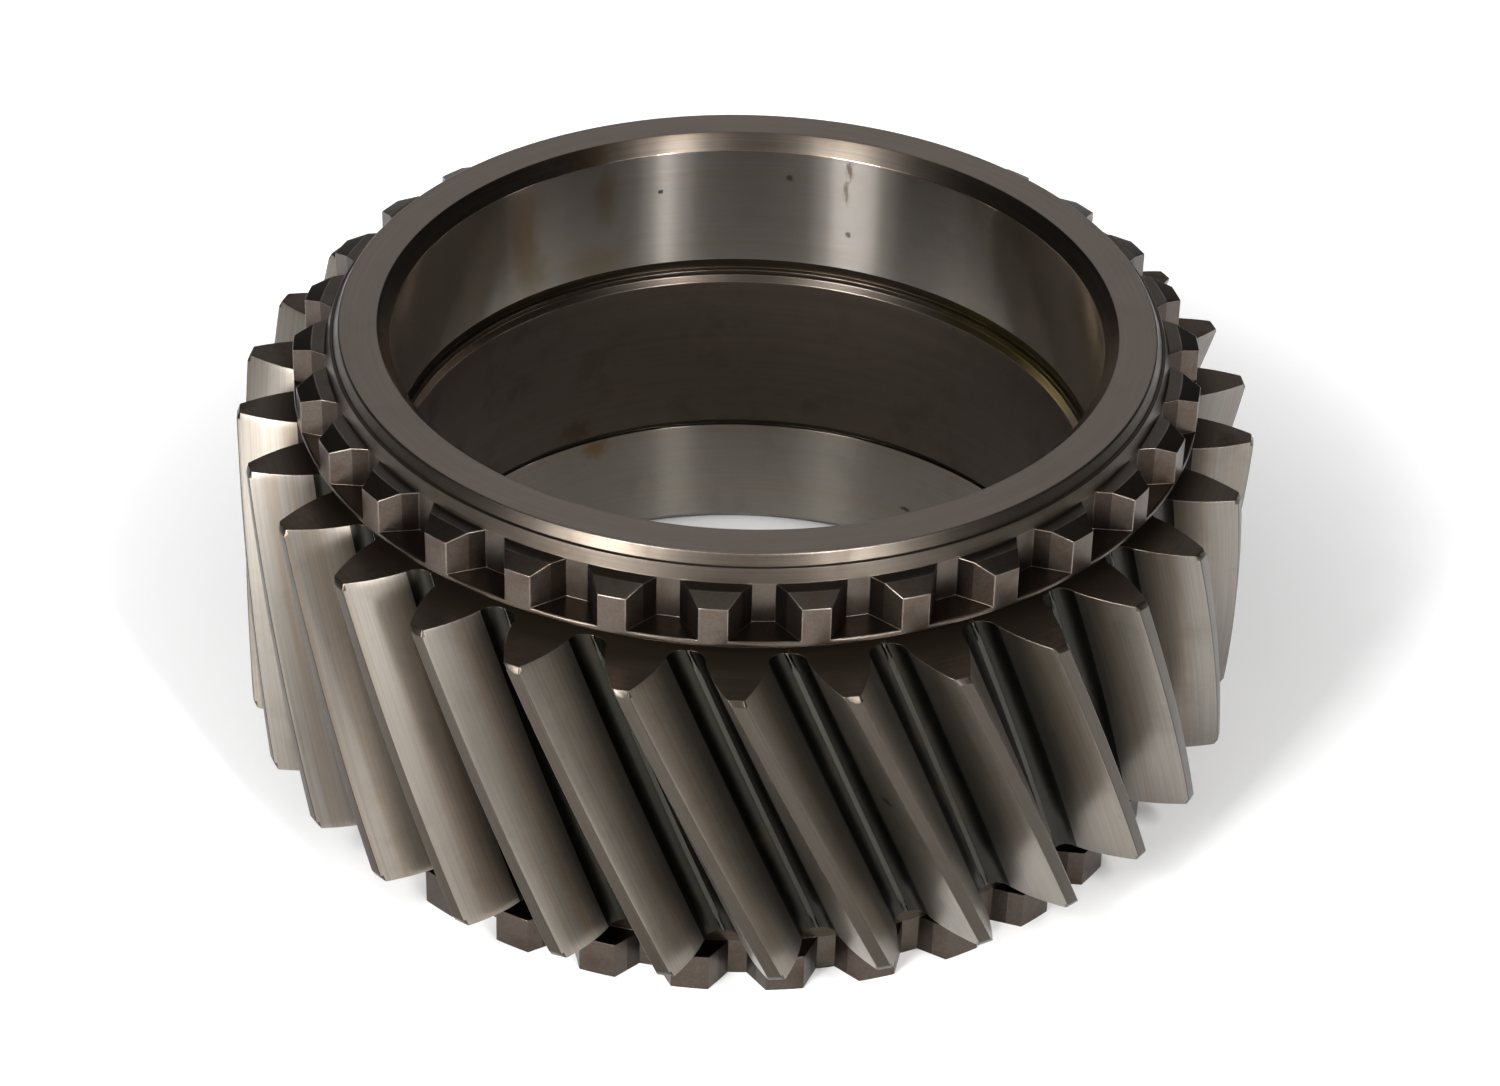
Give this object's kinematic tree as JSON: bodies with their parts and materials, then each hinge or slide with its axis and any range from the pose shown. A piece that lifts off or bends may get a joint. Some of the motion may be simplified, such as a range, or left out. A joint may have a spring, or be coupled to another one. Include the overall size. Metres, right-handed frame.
{
  "type": "transmission gear",
  "caption": "Hollow left-hand helical gear with a ring of clutch dogs at each end and two ground bearing seats in its bore.",
  "frame": {"origin": "centre of the lower end face, on the axis of the bore", "axes": "+Z along the bore axis, from the lower dogs to the rim at the upper dogs; a dog of the upper ring is centred on +X"},
  "size_m": [0.158, 0.158, 0.077],
  "materials": {
    "gear_steel": "case hardened steel, ground flanks and seats, turned faces, light oil"
  },
  "bodies": {
    "root": {"gear": "gear_steel"}
  },
  "joints": []
}
